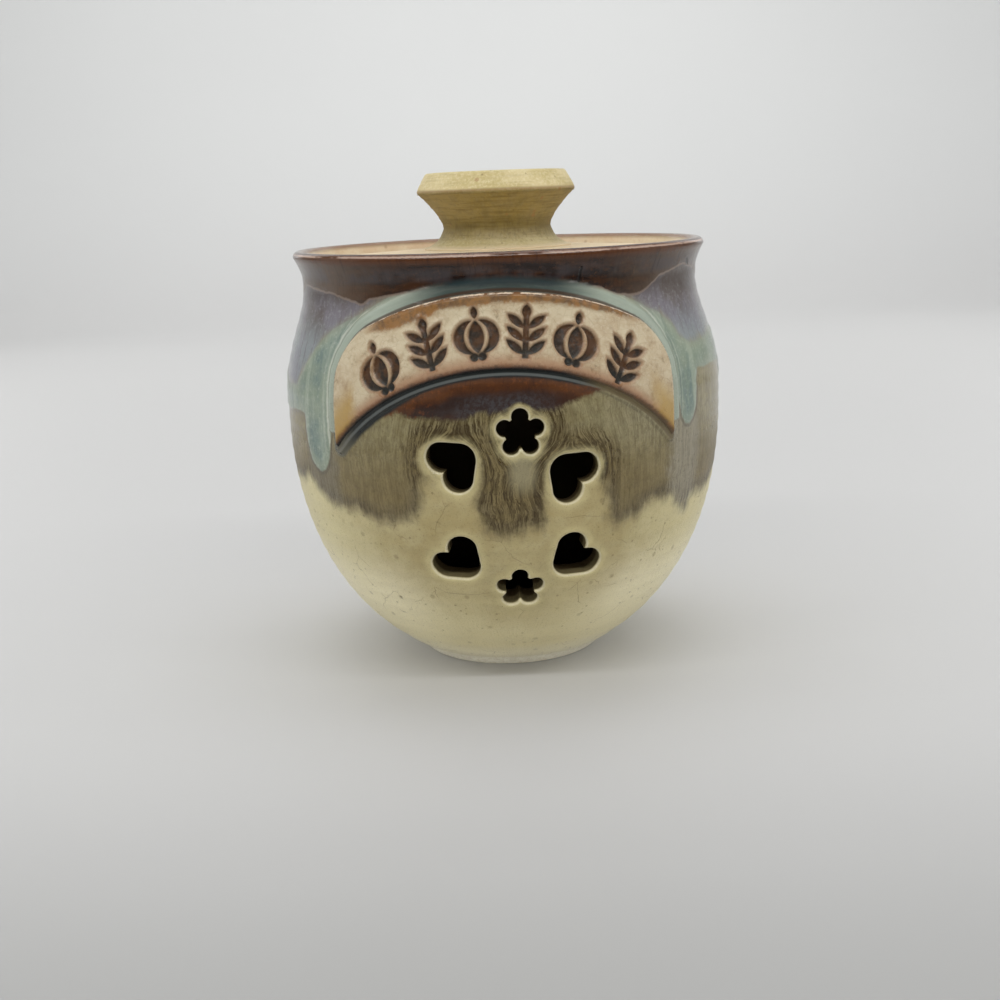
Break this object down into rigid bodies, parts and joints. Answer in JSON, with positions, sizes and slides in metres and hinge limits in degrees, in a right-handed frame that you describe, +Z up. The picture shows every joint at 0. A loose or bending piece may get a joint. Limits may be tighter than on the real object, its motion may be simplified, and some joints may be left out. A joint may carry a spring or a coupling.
{
  "type": "garlic keeper",
  "caption": "Round stoneware garlic keeper with heart and flower vent holes, an arched stamped slab, and a knobbed lid that sits inside the rim.",
  "frame": {"origin": "centre of the flat foot, on the plane that the pot stands on", "axes": "+Z up the axis that the pot was turned on, -Y through the middle of the label slab, +X to the right of the front view"},
  "size_m": [0.1295, 0.1306, 0.1426],
  "materials": {
    "pot_glaze": "glossy iron red, teal and olive glazes that run over a satin cream lower half",
    "label_glaze": "pale crackled gloss, rust brown at the edges, dark glaze in the stamps",
    "lid_glaze": "satin mustard cream with fine specks"
  },
  "bodies": {
    "pot": {"pot_body": "pot_glaze", "label_plaque": "label_glaze"},
    "lid": {"lid_plate": "lid_glaze", "lid_knob": "lid_glaze"}
  },
  "joints": [
    {"name": "lid_lift", "type": "slide", "parent": "pot", "child": "lid", "axis": [0, 0, 1], "range_m": [0, 0.08]}
  ]
}
